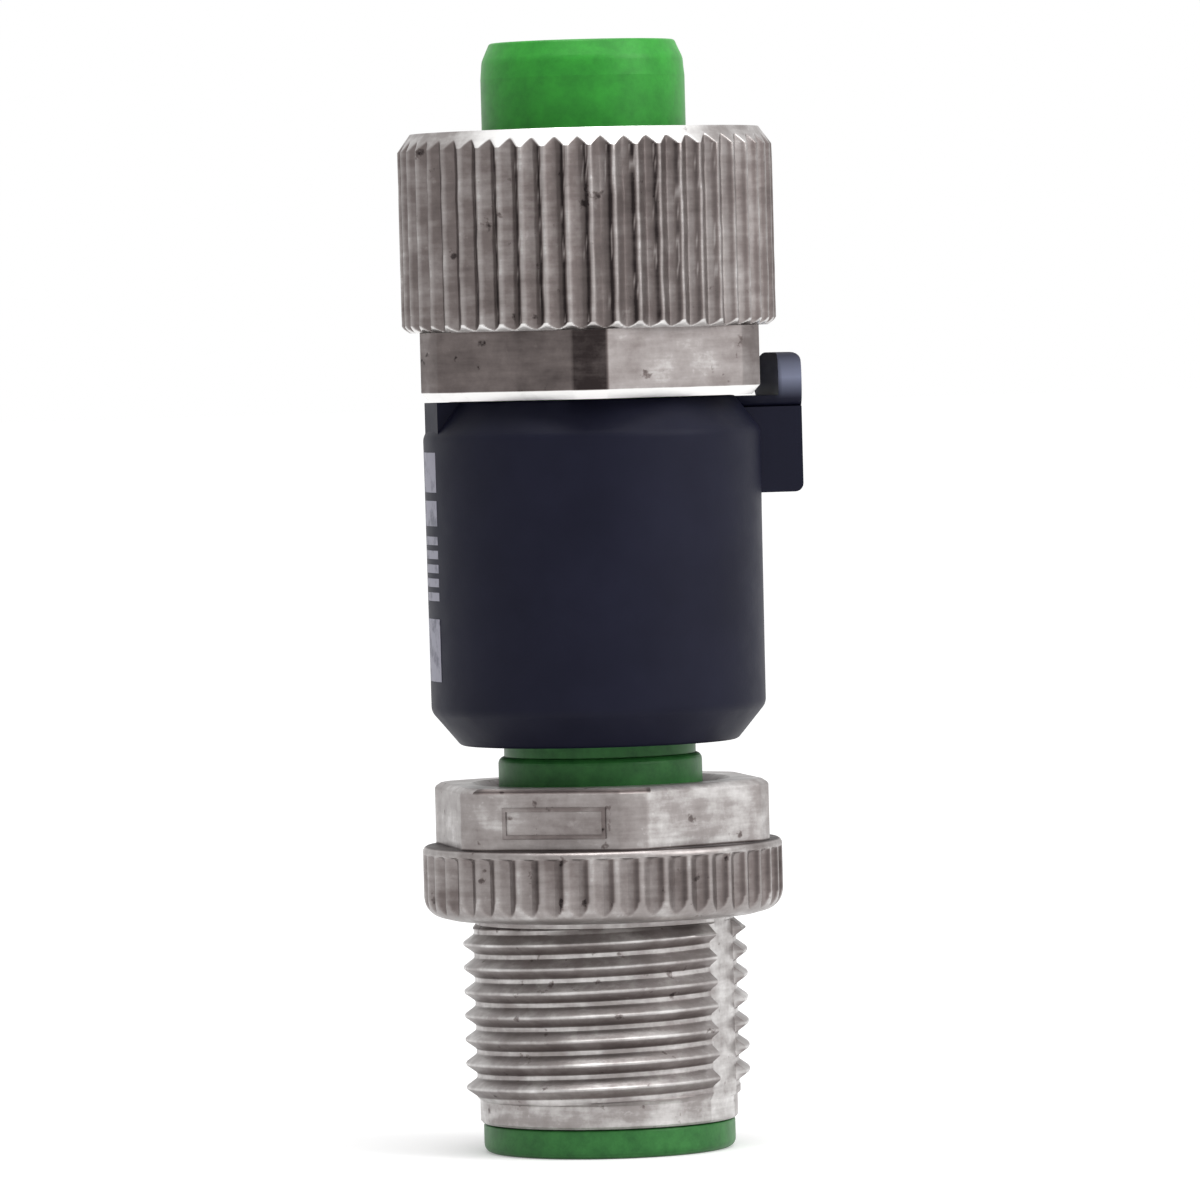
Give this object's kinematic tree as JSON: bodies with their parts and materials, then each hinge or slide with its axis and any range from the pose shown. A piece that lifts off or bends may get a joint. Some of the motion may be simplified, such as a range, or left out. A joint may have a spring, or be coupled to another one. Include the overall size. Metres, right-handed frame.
{
  "type": "m12 connector adapter",
  "caption": "Straight circular M12 adapter: knurled coupling nut round a green keyed socket, moulded black housing with index lug, coupling screw round a green pin cup.",
  "frame": {"origin": "centre of the plug's end face", "axes": "+Z along the common axis from the plug to the socket, +X through the key of both ends and the index lug"},
  "size_m": [0.0166, 0.0156, 0.0461],
  "materials": {
    "black_overmould": "fine matt moulding",
    "grey_potting": "plain",
    "green_plastic": "satin moulding",
    "green_plastic_shaded": "satin moulding",
    "seal_rubber": "smooth rubber",
    "ring_rubber": "smooth rubber",
    "nickel_plate": "worn satin nickel plating on brass",
    "gold_plate": "gold plating",
    "wire_insulation": "insulated wire with tinned ends"
  },
  "bodies": {
    "housing": {"housing": "black_overmould", "inner_core": "grey_potting", "socket_insert": "green_plastic", "pin_insert": "green_plastic_shaded", "face_seal": "seal_rubber", "contact_pin_1": "gold_plate", "contact_pin_2": "gold_plate", "contact_pin_3": "gold_plate", "contact_pin_4": "gold_plate", "contact_pin_5": "gold_plate", "socket_contact_1": "gold_plate", "socket_contact_2": "gold_plate", "socket_contact_3": "gold_plate", "socket_contact_4": "gold_plate", "socket_contact_5": "gold_plate", "link_wire_1": "wire_insulation", "link_wire_2": "wire_insulation", "link_wire_3": "wire_insulation", "link_wire_4": "wire_insulation", "link_wire_5": "wire_insulation"},
    "nut_carrier": {"nut_brake_ring": "ring_rubber"},
    "nut": {"coupling_nut": "nickel_plate"},
    "screw_carrier": {"screw_brake_ring": "ring_rubber"},
    "screw": {"coupling_screw": "nickel_plate"}
  },
  "joints": [
    {"name": "nut_slide", "type": "slide", "parent": "housing", "child": "nut_carrier", "axis": [0, 0, 1], "range_m": [0, 0.002]},
    {"name": "nut_spin", "type": "hinge", "parent": "nut_carrier", "child": "nut", "pos_m": [0, 0, 0.037], "axis": [0, 0, 1], "continuous": true},
    {"name": "screw_slide", "type": "slide", "parent": "housing", "child": "screw_carrier", "axis": [0, 0, 1], "range_m": [0, 0.0015]},
    {"name": "screw_spin", "type": "hinge", "parent": "screw_carrier", "child": "screw", "pos_m": [0, 0, 0.008], "axis": [0, 0, 1], "continuous": true}
  ]
}
